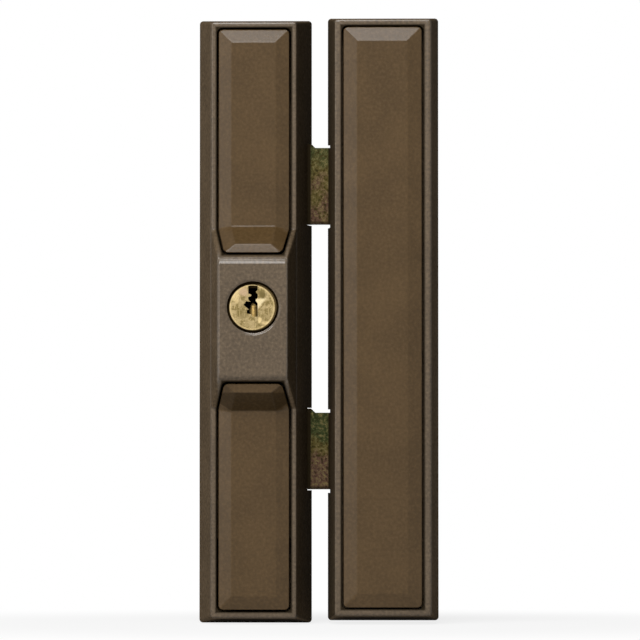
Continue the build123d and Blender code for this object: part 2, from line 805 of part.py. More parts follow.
def keeper_blocks():
    """Steel bars that stand on the keeper, beside and between the bolts."""
    near = keeper_edge_inset - strike_width / 2
    bar = block(near, near + keeper_block_width, -keeper_block_half, keeper_block_half,
                keeper_thickness, strike_deck_bottom)
    return bar - strike_notches(keeper_play, near - 1, near + keeper_block_width + 1, 0, FAR)


def keeper_screws():
    return [sunk_screw(x, y, 0, retainer_screw_diameter, keeper_thickness, keeper_screw_length)
            for x, y in keeper_screw_places()]


def at_strike(shape):
    return Pos(strike_middle, strike_rise, 0) * shape


def write(name, pieces):
    """Write one node, upright, from one solid or a list of them."""
    if not isinstance(pieces, (list, tuple)):
        pieces = [pieces]
    solids = [solid for piece in pieces for solid in upright(piece).solids()]
    shape = solids[0] if len(solids) == 1 else Compound(children=solids)
    export_step(shape, f"parts/{name}.step")


write("lock_housing", lock_housing())
write("back_plate", back_plate())
write("back_plate_screws", back_plate_screws())
write("upper_cover", lock_cover())
write("lower_cover", Rot(0, 0, 180) * lock_cover())
write("cylinder_body", cylinder_body())
write("chamber_strip", chamber_strip())
write("key_plug", key_plug())
write("key_pins", key_pins())
write("driver_pins", driver_pins())
write("pin_springs", pin_springs())
write("plug_clip", plug_clip())
write("drive_pinion", drive_pinion())
write("pinion_screw", pinion_screw())
write("cylinder_retainer", cylinder_retainer())
write("retainer_screws", retainer_screws())
write("slide_plate", slide_plate())
write("guide_studs", guide_studs())
write("rack_bar", rack_bar())
write("rack_rivets", rack_rivets())
write("upper_bolt", bolt(bolt_centres()[0]))
write("lower_bolt", bolt(bolt_centres()[1]))
write("bolt_rivets", bolt_rivets())
write("strike_housing", at_strike(strike_housing()))
write("strike_cover", at_strike(strike_cover()))
write("strike_keeper", at_strike(strike_keeper()))
write("keeper_blocks", at_strike(keeper_blocks()))
write("keeper_screws", [at_strike(screw) for screw in keeper_screws()])
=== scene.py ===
import json
import math
from collections import namedtuple

import bmesh
import bpy
import numpy as np
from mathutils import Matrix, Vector


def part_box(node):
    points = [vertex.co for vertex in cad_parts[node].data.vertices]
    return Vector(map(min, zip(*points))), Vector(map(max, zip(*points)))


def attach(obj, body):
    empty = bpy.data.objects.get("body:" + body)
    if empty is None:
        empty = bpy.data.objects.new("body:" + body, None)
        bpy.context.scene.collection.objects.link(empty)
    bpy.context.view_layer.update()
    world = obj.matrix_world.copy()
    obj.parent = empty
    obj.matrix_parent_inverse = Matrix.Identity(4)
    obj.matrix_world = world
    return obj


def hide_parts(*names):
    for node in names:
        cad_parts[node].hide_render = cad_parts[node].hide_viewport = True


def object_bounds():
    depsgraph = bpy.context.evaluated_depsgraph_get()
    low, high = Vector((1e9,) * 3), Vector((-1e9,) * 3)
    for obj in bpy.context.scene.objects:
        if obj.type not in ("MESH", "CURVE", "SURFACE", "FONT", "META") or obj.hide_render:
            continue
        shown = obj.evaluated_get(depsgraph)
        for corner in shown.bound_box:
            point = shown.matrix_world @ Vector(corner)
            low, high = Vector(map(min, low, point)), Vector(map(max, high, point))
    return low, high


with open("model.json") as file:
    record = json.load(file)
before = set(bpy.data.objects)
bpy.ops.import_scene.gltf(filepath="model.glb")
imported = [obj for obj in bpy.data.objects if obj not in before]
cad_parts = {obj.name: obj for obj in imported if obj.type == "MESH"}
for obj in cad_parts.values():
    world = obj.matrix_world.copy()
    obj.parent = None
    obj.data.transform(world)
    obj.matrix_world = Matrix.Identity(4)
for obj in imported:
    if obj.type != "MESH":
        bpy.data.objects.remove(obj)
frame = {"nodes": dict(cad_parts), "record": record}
cad_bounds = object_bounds()

bl_info = {
    "name": "Window Lock",
    "version": (1, 0, 0),
    "blender": (4, 5, 0),
    "location": "View3D > Sidebar > Lock",
    "description": "Dresses a surface mounted window lock and its strike box",
    "category": "Object",
}

MM = 0.001

# Shading: faces of a new piece that meet at less than the first angle look like one surface,
# and edges of a CAD node that are sharper than the second are rounded.
SMOOTH_ANGLE = math.radians(35)
EDGE_ANGLE = math.radians(33)

# The case: the pad's half width and upper edge, and the gap between a cap and its recess.
PAD_HALF = 11.65 * MM
PAD_TOP = 19.6 * MM
CAP_GAP = 0.6 * MM

# The legs under the caps: half their thickness, and where they stand from the middle.
LEG_HALF = 0.7 * MM
CASE_LEGS = (44 * MM, 66 * MM)
STRIKE_LEGS = (38 * MM, 76 * MM)

# Patches on the plug's face, in millimetres from its axis: the middle across and up, half the
# width, half the height, the share of the tone that shows, and the tone. The bright and dark
# patches are painted highlights and painted shade of the turned face's reflection; the pink,
# clean and dull ones are tones of the brass.
BRASS_PATCHES = (
    (-3.0, 5.2, 1.7, 1.6, 0.85, "pink"),
    (-5.6, 3.4, 1.5, 2.6, 0.55, "bright"),
    (-3.3, 1.6, 2.2, 1.3, 0.45, "clean"),
    (-3.4, -2.4, 2.4, 1.9, 0.60, "dull"),
    (3.3, 4.3, 1.3, 1.6, 1.0, "dark"),
    (4.6, -2.6, 1.9, 2.4, 0.40, "dull"),
    (2.3, -4.3, 0.7, 1.3, 0.80, "bright"),
    (4.4, -5.2, 1.6, 0.7, 0.50, "bright"),
    (-0.4, -5.6, 3.0, 1.2, 0.50, "clean"),
)

# Soft boxes in the studio: the place in metres, and the width and height.
LIGHTS = {
    "key": ((-0.23, -1.32, 1.05), (0.8, 1.1)),
    "fill": ((-1.52, -1.28, 0.21), (0.9, 0.9)),
    "corner": ((-0.85, -1.21, 1.03), (0.35, 0.35)),
}

# Places that the finishes follow. A bezel has the cylinder's axis, the height of the pad's front
# and the pad's upper edge. A recess has its outline from the middle: half its width, its far end
# and its near end. The bolts have the stretch across that their painted shade leaves out, the
# height midway between them, how far each is from there, and half their width.
Bezel = namedtuple("Bezel", "x z front top")
Recess = namedtuple("Recess", "half_width far near")
Bolts = namedtuple("Bolts", "bare_from bare_to middle spacing half_width")


class LockCapSettings(bpy.types.PropertyGroup):
    """Sizes of the moulded caps. Heights are measured from the window, lengths from the middle."""

    half_width: bpy.props.FloatProperty(
        name="Half width", description="Half the width of a cap on the lock case",
        default=11.85 * MM, unit="LENGTH")
    outer_end: bpy.props.FloatProperty(
        name="Outer end", description="The cap's far end, from the middle of the case",
        default=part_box("upper_cover")[1][2] - 0.15 * MM, unit="LENGTH")
    pad_end: bpy.props.FloatProperty(
        name="Pad end", description="The cap's near end, on the pad's ramp",
        default=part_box("upper_cover")[0][2] + 0.1 * MM, unit="LENGTH")
    ramp_foot: bpy.props.FloatProperty(
        name="Ramp foot", description="Where the ramp up to the pad begins",
        default=30.3 * MM, unit="LENGTH")
    ramp_angle: bpy.props.FloatProperty(
        name="Ramp angle", description="The slope of the ramp",
        default=math.atan2(12.0, 10.7), subtype="ANGLE")
    flank_angle: bpy.props.FloatProperty(
        name="Flank angle", description="The draft of the case's long sides",
        default=math.radians(13.1), subtype="ANGLE")
    strike_angle: bpy.props.FloatProperty(
        name="Strike angle", description="The draft of the strike's long sides",
        default=math.radians(7.1), subtype="ANGLE")
    end_angle: bpy.props.FloatProperty(
        name="End angle", description="The draft of the ends of both housings",
        default=math.radians(5.7), subtype="ANGLE")
    bolt_half_width: bpy.props.FloatProperty(
        name="Bolt half width", description="Half the width of a bolt's tongue",
        default=13.0 * MM, unit="LENGTH")
    strike_half_width: bpy.props.FloatProperty(
        name="Strike half width", description="Half the width of the strike's cap",
        default=13.15 * MM, unit="LENGTH")
    rim_height: bpy.props.FloatProperty(
        name="Rim height", description="Height of the rim round the caps",
        default=20.0 * MM, unit="LENGTH")
    bevel_run: bpy.props.FloatProperty(
        name="Bevel run", description="How far the bevel reaches in from the cap's edge",
        default=4.4 * MM, unit="LENGTH")
    strike_bevel_run: bpy.props.FloatProperty(
        name="Strike bevel run", description="How far the bevel reaches in on the strike's cap",
        default=4.7 * MM, unit="LENGTH")
    bevel_rise: bpy.props.FloatProperty(
        name="Bevel rise", description="How far the cap's field stands above its edge",
        default=1.9 * MM, unit="LENGTH")
    crease: bpy.props.FloatProperty(
        name="Crease", description="Height over which a moulded crease is rounded",
        default=0.12 * MM, unit="LENGTH")
    corner: bpy.props.FloatProperty(
        name="Corner", description="Radius of the cap's corners seen from the front",
        default=1.5 * MM, unit="LENGTH")
    edge: bpy.props.FloatProperty(
        name="Edge", description="Radius of the cap's outer edge",
        default=0.3 * MM, unit="LENGTH")
    wall: bpy.props.FloatProperty(
        name="Wall", description="Thickness of the moulding",
        default=1.6 * MM, unit="LENGTH")
    skirt: bpy.props.FloatProperty(
        name="Skirt", description="How far the skirt hangs below the rim",
        default=2.6 * MM, unit="LENGTH")


class LockEdgeSettings(bpy.types.PropertyGroup):
    """How far the edges of cast, pressed and turned pieces are broken."""

    casting: bpy.props.FloatProperty(
        name="Casting", description="Edge radius of the die cast housings",
        default=0.28 * MM, unit="LENGTH")
    steel: bpy.props.FloatProperty(
        name="Steel", description="Edge radius of bolts and plates",
        default=0.2 * MM, unit="LENGTH")
    brass: bpy.props.FloatProperty(
        name="Brass", description="Edge radius of the plug",
        default=0.14 * MM, unit="LENGTH")


class LockFinishSettings(bpy.types.PropertyGroup):
    """Colours of the finishes."""

    enamel: bpy.props.FloatVectorProperty(
        name="Enamel", description="Brown enamel of the housings", subtype="COLOR",
        default=(0.100, 0.070, 0.041))
    cap: bpy.props.FloatVectorProperty(
        name="Cap", description="Brown plastic of the caps", subtype="COLOR",
        default=(0.077, 0.0455, 0.0175))
    brass: bpy.props.FloatVectorProperty(
        name="Brass", description="Clean brass", subtype="COLOR",
        default=(0.42, 0.32, 0.16))
    brass_dull: bpy.props.FloatVectorProperty(
        name="Dull brass", description="Brass where it has darkened", subtype="COLOR",
        default=(0.17, 0.125, 0.045))
    brass_pink: bpy.props.FloatVectorProperty(
        name="Pink brass", description="Brass where it has turned pink", subtype="COLOR",
        default=(0.50, 0.35, 0.22))
    pin: bpy.props.FloatVectorProperty(
        name="Pins", description="Golden brass of the pins", subtype="COLOR",
        default=(0.95, 0.64, 0.21))
    # Painted shade: the colour of the keyway and of all that lies below the plug's face.
    recess_shade: bpy.props.FloatVectorProperty(
        name="Grime", description="Dark grease in the keyway and round the plug", subtype="COLOR",
        default=(0.026, 0.016, 0.005))
    chromate: bpy.props.FloatVectorProperty(
        name="Chromate", description="Yellow chromate on zinc", subtype="COLOR",
        default=(0.062, 0.048, 0.014))
    chromate_red: bpy.props.FloatVectorProperty(
        name="Chromate, red", description="Chromate where it turns pink", subtype="COLOR",
        default=(0.070, 0.038, 0.025))
    chromate_green: bpy.props.FloatVectorProperty(
        name="Chromate, green", description="Chromate where it turns green", subtype="COLOR",
        default=(0.028, 0.036, 0.012))
    steel: bpy.props.FloatVectorProperty(
        name="Steel", description="Bright steel of screws and springs", subtype="COLOR",
        default=(0.42, 0.42, 0.41))
    floor: bpy.props.FloatVectorProperty(
        name="Floor", description="Pale floor", subtype="COLOR",
        default=(0.80, 0.80, 0.80))


class LockStageSettings(bpy.types.PropertyGroup):
    """Camera and studio light."""

    azimuth: bpy.props.FloatProperty(
        name="Azimuth", description="Camera's turn to the right round the lock",
        default=math.radians(1.1), subtype="ANGLE")
    elevation: bpy.props.FloatProperty(
        name="Elevation", description="Camera's height above the horizon",
        default=math.radians(-2.0), subtype="ANGLE")
    distance: bpy.props.FloatProperty(
        name="Distance", description="Camera's distance from the lock",
        default=1.75, unit="LENGTH")
    lens: bpy.props.FloatProperty(
        name="Lens", description="Focal length in millimetres", default=289.0)
    aim_x: bpy.props.FloatProperty(
        name="Aim across", description="The point that the camera looks at, across",
        default=21.9 * MM, unit="LENGTH")
    aim_z: bpy.props.FloatProperty(
        name="Aim height", description="The point that the camera looks at, up",
        default=0.4 * MM, unit="LENGTH")
    key_power: bpy.props.FloatProperty(
        name="Key power", description="Power of the soft box above the camera", default=27.0)
    fill_power: bpy.props.FloatProperty(
        name="Fill power", description="Power of the soft light on the left", default=4.5)
    corner_power: bpy.props.FloatProperty(
        name="Corner power", description="Power of the small light at the upper left", default=6.0)
    ambient: bpy.props.FloatProperty(
        name="Ambient", description="Light from all round", default=0.045)


class Value:
    """A socket of a node tree. Python's arithmetic on it adds Math nodes."""

    def __init__(self, tree, socket=None):
        self.tree = tree
        self.socket = socket

    def add(self, kind, settings=None, inputs=None, output=0):
        """Add a node: its settings are set first, then its sockets take values or links."""
        node = self.tree.nodes.new(kind)
        for name, setting in (settings or {}).items():
            setattr(node, name, setting)
        for name, value in (inputs or {}).items():
            if isinstance(value, Value):
                self.tree.links.new(value.socket, node.inputs[name])
            else:
                node.inputs[name].default_value = value
        return Value(self.tree, node.outputs[output] if node.outputs else None)

    def math(self, operation, *terms):
        return self.add("ShaderNodeMath", {"operation": operation}, dict(enumerate(terms)))

    def __add__(self, other):
        return self.math("ADD", self, other)

    def __sub__(self, other):
        return self.math("SUBTRACT", self, other)

    def __rsub__(self, other):
        return self.math("SUBTRACT", other, self)

    def __mul__(self, other):
        return self.math("MULTIPLY", self, other)

    def __truediv__(self, other):
        return self.math("DIVIDE", self, other)

    def __pow__(self, other):
        return self.math("POWER", self, other)

    def __neg__(self):
        return self * -1.0

    def __abs__(self):
        return self.math("ABSOLUTE", self)

    __radd__ = __add__
    __rmul__ = __mul__

    def at_least(self, other):
        return self.math("MAXIMUM", self, other)

    def at_most(self, other):
        return self.math("MINIMUM", self, other)

    def step(self, low, high):
        """0 below low, 1 above high, smooth between."""
        return self.add("ShaderNodeMapRange", {"interpolation_type": "SMOOTHSTEP"},
                        {"Value": self, "From Min": low, "From Max": high})

    def reach(self, start, width):
        """0 up to start, then straight up to 1 over the width."""
        return ((self - start) / width).at_least(0.0).at_most(1.0)

    def noise(self, scale, detail=2.0):
        """Noise of about 0 to 1 at this point, scale times a metre."""
        return self.add("ShaderNodeTexNoise", None,
                        {"Vector": self, "Scale": scale, "Detail": detail})

    def part(self, axis):
        """The X, Y or Z of a vector."""
        return self.add("ShaderNodeSeparateXYZ", None, {0: self}, axis)

    def mix(self, low, high):
        """A colour between low and high, with this value as the share of high."""
        return self.add("ShaderNodeMix", {"data_type": "RGBA"},
                        {0: self, 6: shade(low), 7: shade(high)}, 2)

    def bump(self, strength, distance, **base):
        """A normal that leans with this height; Normal=... lays it on another bump."""
        return self.add("ShaderNodeBump", None,
                        {"Height": self, "Strength": strength, "Distance": distance, **base})


def shade(colour):
    """A colour as a socket takes it, or a link as it is."""
    return colour if isinstance(colour, Value) else (*colour, 1.0)


def tinted(colour, share, lift=0.0):
    """A darker or paler colour: each part times a share, plus a lift, and 1 at most."""
    return tuple(min(c * share + lift, 1.0) for c in colour)


def middle(box):
    """The middle of a box across and up, as seen from the front."""
    return (box[0][0] + box[1][0]) / 2, (box[0][2] + box[1][2]) / 2


def seen_plainly(start):
    """1 for camera, mirror and see-through rays, which see the background as white."""
    rays = [start.add("ShaderNodeLightPath", output=ray)
            for ray in ("Is Camera Ray", "Is Glossy Ray", "Is Transmission Ray")]
    return (rays[0] + rays[1] + rays[2]).at_most(1.0)


def material(name):
    """An empty node material, and its object coordinates to start from."""
    made = bpy.data.materials.new(name)
    made.use_nodes = True
    made.node_tree.nodes.clear()
    start = Value(made.node_tree)
    return made, start.add("ShaderNodeTexCoord", output="Object")


def surface(start, **sockets):
    """A Principled surface: underscores in the names stand for spaces."""
    inputs = {name.replace("_", " "): value for name, value in sockets.items()}
    shader = start.add("ShaderNodeBsdfPrincipled", None, inputs)
    start.add("ShaderNodeOutputMaterial", None, {"Surface": shader})


def satin_enamel(name, colour, roughness, gloss, contrast, relief=None, polish=None, painted_shade=None):
    """Satin brown coating: fine orange peel, faint clouding, and a grain of paler and darker
    specks whose contrast is given. Three functions of the point may be added: the relief, for
    larger forms, the polish, the share of the gloss that a place has, and the painted shade on it,
    which darkens the colour and takes the gloss away."""
    made, point = material(name)
    peel = point.noise(1400.0, 3.0)
    clouds = point.noise(60.0, 3.0).step(0.3, 0.7)
    specks = point.noise(1000.0, 2.0)
    tone = clouds.mix(tinted(colour, 0.90), tinted(colour, 1.08, 0.001))
    tone = (contrast * specks.step(0.48, 0.72)).mix(tone, tinted(colour, 1.8, 0.01))
    tone = (contrast * (1 - specks.step(0.28, 0.52))).mix(tone, tinted(colour, 0.3))
    if polish:
        gloss = gloss * polish(point)
    if painted_shade:
        # Painted shade: the colour goes to near black and the gloss goes where the function gives 1.
        shade_tone = (0.010, 0.007, 0.003)
        shade_share = painted_shade(point)
        tone = shade_share.mix(tone, shade_tone)
        gloss = gloss * (1 - shade_share)
    base = {"Normal": relief(point).bump(1.0, 0.3 * MM)} if relief else {}
    surface(point, Base_Color=tone, Roughness=0.75, Specular_IOR_Level=0.0,
            Normal=peel.bump(0.5, 0.1 * MM, **base),
            Coat_Weight=gloss, Coat_IOR=4.0, Coat_Roughness=roughness,
            Coat_Normal=peel.bump(0.5, 0.03 * MM, **base))
    return made


def rounded_rim(point, centre, half_x, half_z, bezel=None):
    """Height that falls off by the square over the last part of a housing's rim. With a bezel,
    it also rises like a chamfer round the cylinder's hole and falls off along the pad's top."""
    width = 0.9 * MM
    over_x = abs(point.part(0) - centre[0]).reach(half_x - width, width)
    over_z = abs(point.part(2) - centre[1]).reach(half_z - width, width)
    over = over_x.at_least(over_z)
    height = -(over * over)
    if bezel:
        x = point.part(0) - bezel.x
        z = point.part(2) - bezel.z
        chamfer = ((x * x + z * z) ** 0.5).step(8.65 * MM, 9.45 * MM)
        front = (-point.part(1)).step(bezel.front - 0.8 * MM, bezel.front - 0.4 * MM)
        upper = point.part(2).reach(bezel.top - 1.4 * MM, 1.1 * MM)
        height = height + chamfer - 1.15 * front * upper
    return height


def handled_front(point, centre_x, rim_height):
    """1 on the rim and the pad, which hands polish, 2 along the worn sides of the pad's front,
    and little on the flanks below and beside."""
    flanks = 0.12
    height = -point.part(1)
    side = abs(point.part(0) - centre_x)
    front = height.step(rim_height - 2.0 * MM, rim_height - 0.5 * MM)
    above_rim = height.step(rim_height + 0.3 * MM, rim_height + 1.0 * MM)
    beside = above_rim * side.step(PAD_HALF + 0.1 * MM, PAD_HALF + 0.5 * MM)
    on_pad = height.step(rim_height + 9 * MM, rim_height + 10 * MM)
    worn = on_pad * side.step(PAD_HALF - 0.6 * MM, PAD_HALF - 0.3 * MM)
    return (flanks + (1 - flanks) * front * (1 - beside)) * (1 + worn)


def painted_seam_shade(point, centre, half_base, draft, rim_height, recess, toward):
    """Painted shade along the gap round the caps and on its upper walls, and on the flank that faces
    the other housing, which lies toward 1 or -1 in x. The recess grows narrower with height, as
    the drafted flanks do."""
    height = -point.part(1)
    across = point.part(0) - centre[0]
    along = abs(point.part(2) - centre[1])
    climb = (height - rim_height).at_least(0.0) * math.tan(draft)
    past_end = (along - recess.far).at_least(recess.near - along)
    beyond = (abs(across) + climb - recess.half_width).at_least(past_end)
    shallow = height.step(rim_height - 3.5 * MM, rim_height - 2.5 * MM)
    seam = (1 - beyond.step(-0.05 * MM, 0.75 * MM)) * shallow
    flank = toward * across + height * math.tan(draft)
    facing = flank.step(half_base - 0.45 * MM, half_base - 0.15 * MM)
    return (0.9 * seam).at_least(0.55 * facing)


def painted_ramp_shade(point, field, near_end):
    """Painted shade, with less gloss, on the lower cap's ramp, which faces down: above the field's
    height and short of the near end.
    """
    ramp = (-point.part(1)).step(field + 0.1 * MM, field + 0.5 * MM)
    return 0.45 * ramp * (-point.part(2)).step(near_end - 0.3 * MM, near_end + 0.3 * MM)


def turned_brass(name, colours, centre, face):
    """Brass with turning marks round the plug's axis, a painted highlight on a facet beside the
    keyway, patches of other tones and of painted highlight and shade, fine scratches, a painted
    highlight near the face's edge, and painted shade round the face and on all that lies below it."""
    made, point = material(name)
    x = (point.part(0) - centre[0]) / MM
    z = (point.part(2) - centre[1]) / MM
    radius = ((x + 0.2) * (x + 0.2) + z * z) ** 0.5
    rings = point.add("ShaderNodeTexNoise", {"noise_dimensions": "1D"},
                      {"W": radius, "Scale": 4.2, "Detail": 2.0})
    mottle = point.noise(640.0, 4.0)
    fine = point.noise(2200.0, 2.0)
    streaks = point.add("ShaderNodeMapping", None,
                        {"Vector": point, "Rotation": (0.0, 0.7, 0.0), "Scale": (1.0, 1.0, 0.08)})
    scratches = streaks.noise(3200.0, 1.0).step(0.62, 0.72)
    clean, dull = tuple(colours.brass), tuple(colours.brass_dull)
    # The second colour is the painted highlight on the facet beside the keyway.
    bright, facet_highlight = tinted(clean, 1.9), (0.84, 0.70, 0.42)
    tones = {"clean": clean, "dull": dull, "bright": bright, "dark": tinted(dull, 0.8),
             "pink": tuple(colours.brass_pink)}
    tone = mottle.step(0.36, 0.64).mix(dull, clean)
    tone = (0.5 * fine.step(0.5, 0.75)).mix(tone, bright)
    # The bright and dark patches are painted highlight and shade; the others are tones of the brass.
    for at_x, at_z, wide, high, share, patch in BRASS_PATCHES:
        away = (((x - at_x) / wide) ** 2.0 + ((z - at_z) / high) ** 2.0) ** 0.5
        away = away + 1.1 * (point.noise(800.0) - 0.5)
        tone = (share * (1 - away.step(0.55, 1.1))).mix(tone, tones[patch])
    # The facet, a painted highlight, starts at a slanting line through (1.6, -0.8), which rises 3.7
    # on a run of 3.0. A dull stroke runs along the line, on its other side.
    inward = (3.0 * (z + 0.8) - 3.7 * (x - 1.6)) / 4.76 + 0.5 * (fine - 0.5)
    facet = inward.step(-0.2, 0.6) * (3.1 - z).step(-0.2, 0.7) * x.step(0.8, 0.9)
    tone = (0.85 * facet).mix(tone, facet_highlight)
    stroke = inward.step(-0.75, -0.45) * (1 - inward.step(-0.3, -0.1)) * (1.4 - z).step(0.0, 0.6)
    tone = (0.7 * stroke * z.step(-1.4, -0.8) * x.step(1.5, 2.0)).mix(tone, dull)
    tone = (0.5 * scratches).mix(tone, bright)
    tone = ((rings - 0.5) * 0.5 + 0.2).mix(tone, dull)
    # Painted highlight: a paler ring near the edge of the plug's face.
    tone = (0.3 * radius.step(6.9, 7.2)).mix(tone, bright)
    # Painted shade in the gap round the face, near black on the left and olive on the right.
    shadows = x.step(-3.0, 7.0).mix((0.010, 0.005, 0.001), (0.075, 0.050, 0.020))
    tone = radius.step(7.45, 7.7).mix(tone, shadows)
    # Painted shade on all that lies below the face, the keyway among it.
    below = point.part(1).step(face + 0.35 * MM, face + 1.0 * MM)
    tone = below.mix(tone, tuple(colours.recess_shade))
    surface(point, Base_Color=tone, Metallic=1.0,
            Roughness=0.3 + 0.15 * (1 - mottle) + 0.3 * below,
            Normal=(rings * 0.6 + scratches).bump(0.25, 0.04 * MM))
    return made


def golden_brass(name, colour):
    """Bright brass of the pins, with fine marks."""
    made, point = material(name)
    marks = point.noise(2400.0, 3.0)
    tone = marks.step(0.35, 0.65).mix(tinted(colour, 0.6), colour)
    surface(point, Base_Color=tone, Metallic=0.6, Roughness=0.35 + 0.2 * marks,
            Normal=marks.bump(0.2, 0.03 * MM))
    return made


def chromated_steel(name, colours, strength, bolts=None):
    """Yellow chromate over zinc: zones of olive, pink and green, as strong as given, with pale
    curled streaks and dark pits. On the bolts the zones drift from pink at the foot of each to
    green at its top, and painted shade darkens them inside the housings and along their long edges."""
    made, point = material(name)
    colour = tuple(colours.chromate)
    zones = point.noise(105.0, 1.0)
    if bolts:
        height = point.part(2) - bolts.middle
        local = height - bolts.spacing * height.math("SIGN", height)
        zones = 0.7 * zones + 0.15 + 0.30 * (local.reach(-9 * MM, 18 * MM) - 0.5)
    curls = point.add("ShaderNodeTexNoise", None,
                      {"Vector": point, "Scale": 520.0, "Detail": 2.0, "Distortion": 2.5})
    speckle = point.noise(950.0, 3.0)
    veins = 1 - abs(curls - 0.5).step(0.0, 0.045)
    rough = 0.35 * (speckle - 0.5)
    tone = (strength * (zones + rough).step(0.50, 0.60)).mix(colour, tuple(colours.chromate_green))
    tone = (strength * (1 - zones + rough).step(0.50, 0.60)).mix(tone, tuple(colours.chromate_red))
    tone = (0.5 * speckle.step(0.50, 0.66)).mix(tone, tinted(colour, 2.0, 0.01))
    tone = (0.75 * (1 - speckle).step(0.54, 0.68)).mix(tone, tinted(colour, 0.25))
    tone = (0.6 * veins * speckle.step(0.35, 0.6)).mix(tone, tinted(colour, 2.8, 0.03))
    if bolts:
        # Painted shade: near black inside the housings and along the bolts' long edges.
        shadows = (0.012, 0.008, 0.003)
        tone = bolt_shade(point, bolts).mix(tone, shadows)
    surface(point, Base_Color=tone, Metallic=0.8, Roughness=0.36 + 0.2 * speckle,
            Specular_IOR_Level=0.1, Normal=speckle.bump(0.3, 0.06 * MM))
    return made


def bolt_shade(point, bolts):
    """Painted shade: 1 where a bolt runs inside the case or the strike at rest, and along its long
    edges.
    """
    fade = 0.6 * MM
    x = point.part(0)
    unshaded = x.step(bolts.bare_from, bolts.bare_from + fade)
    unshaded = unshaded * (1 - x.step(bolts.bare_to - fade, bolts.bare_to))
    side = abs(abs(point.part(2) - bolts.middle) - bolts.spacing)
    edge = side.step(bolts.half_width - 0.45 * MM, bolts.half_width - 0.1 * MM)
    return 1 - unshaded * (1 - 0.75 * edge)


def bright_steel(name, colour):
    """Drawn or turned steel with faint marks along it."""
    made, point = material(name)
    marks = point.noise(1800.0, 3.0)
    tone = marks.mix(tinted(colour, 0.8), tinted(colour, 1.15))
    surface(point, Base_Color=tone, Metallic=1.0, Roughness=0.26 + 0.2 * marks,
            Normal=marks.bump(0.1, 0.03 * MM))
    return made


def pale_floor(name, colour):
    """A pale floor that keeps the shadow near the lock and fades to white further away."""
    made, point = material(name)
    x = point.part(0) - 22 * MM
    y = point.part(1) + 20 * MM
    away = ((x * x + y * y) ** 0.5).step(90 * MM, 260 * MM)
    grain = point.noise(400.0, 2.0)
    tone = grain.mix(tinted(colour, 0.98), colour)
    cloth = point.add("ShaderNodeBsdfDiffuse", None, {"Color": tone})
    white = point.add("ShaderNodeEmission", None, {"Color": (1.0, 1.0, 1.0, 1.0), "Strength": 1.0})
    mixed = point.add("ShaderNodeMixShader", None,
                      {0: seen_plainly(point) * (0.82 + 0.18 * away), 1: cloth, 2: white})
    point.add("ShaderNodeOutputMaterial", None, {"Surface": mixed})
    return made


def housing_enamel(name, node, draft, recess, toward, bezel=None):
    """The enamel of a housing, whose rim, polish and painted shade follow the node's own box."""
    caps = bpy.context.scene.lock_caps
    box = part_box(node)
    centre = middle(box)
    half_base = (box[1][0] - box[0][0]) / 2
    half_x = half_base - caps.rim_height * math.tan(draft)
    half_z = (box[1][2] - box[0][2]) / 2 - caps.rim_height * math.tan(caps.end_angle)
    return satin_enamel(
        name, bpy.context.scene.lock_finishes.enamel, 0.21, 0.080, 0.35,
        relief=lambda point: rounded_rim(point, centre, half_x, half_z, bezel),
        polish=lambda point: handled_front(point, centre[0], caps.rim_height),
        # Painted shade in the gap round the caps and on the flank that faces the other housing.
        painted_shade=lambda point: painted_seam_shade(point, centre, half_base, draft, caps.rim_height,
                                     recess, toward))


def case_enamel(name):
    """Enamel with the pad's bezel, and painted shade round the recess of each cap."""
    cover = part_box("upper_cover")
    recess = Recess(cover[1][0] + CAP_GAP, cover[1][2] + CAP_GAP, cover[0][2] - CAP_GAP)
    bezel = Bezel(*middle(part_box("key_plug")), -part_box("lock_housing")[0][1], PAD_TOP)
    draft = bpy.context.scene.lock_caps.flank_angle
    return housing_enamel(name, "lock_housing", draft, recess, 1, bezel)


def strike_enamel(name):
    """Enamel with painted shade round the one long recess, which has no near end."""
    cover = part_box("strike_cover")
    no_near_end = -1.0
    recess = Recess((cover[1][0] - cover[0][0]) / 2 + CAP_GAP,
                    (cover[1][2] - cover[0][2]) / 2 + CAP_GAP, no_near_end)
    draft = bpy.context.scene.lock_caps.strike_angle
    return housing_enamel(name, "strike_housing", draft, recess, -1)


def cap_plastic(name, colour):
    """Satin plastic with painted shade on the lower cap's ramp."""
    caps = bpy.context.scene.lock_caps
    field = caps.rim_height + caps.bevel_rise
    return satin_enamel(name, colour, 0.22, 0.046, 0.2,
                        # Painted shade on the lower cap's ramp, which faces down.
                        painted_shade=lambda point: painted_ramp_shade(point, field, LockCap(caps).creases[0]))


def bolt_chromate(name, colours):
    """Strong chromate on the bolts, with painted shade on all but the stretch from half a millimetre
    inside the case to half a millimetre inside the strike."""
    inside = 0.5 * MM
    upper, lower = (middle(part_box(node))[1] for node in ("upper_bolt", "lower_bolt"))
    bolts = Bolts(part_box("lock_housing")[1][0] - inside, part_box("strike_housing")[0][0] + inside,
                  (upper + lower) / 2, (upper - lower) / 2,
                  bpy.context.scene.lock_caps.bolt_half_width)
    return chromated_steel(name, colours, 1.0, bolts)


def finish(key):
    """The named finish, made the first time that a piece asks for it."""
    name = "lock_" + key
    if name in bpy.data.materials:
        return bpy.data.materials[name]
    colours = bpy.context.scene.lock_finishes
    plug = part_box("key_plug")
    makers = {
        "case_paint": lambda: case_enamel(name),
        "strike_paint": lambda: strike_enamel(name),
        "cap_plastic": lambda: cap_plastic(name, colours.cap),
        "brass": lambda: turned_brass(name, colours, middle(plug), plug[0][1]),
        "pin_brass": lambda: golden_brass(name, colours.pin),
        "yellow_chromate": lambda: chromated_steel(name, colours, 0.35),
        "bolt_chromate": lambda: bolt_chromate(name, colours),
        "bright_steel": lambda: bright_steel(name, colours.steel),
        "floor": lambda: pale_floor(name, colours.floor),
    }
    return makers[key]()


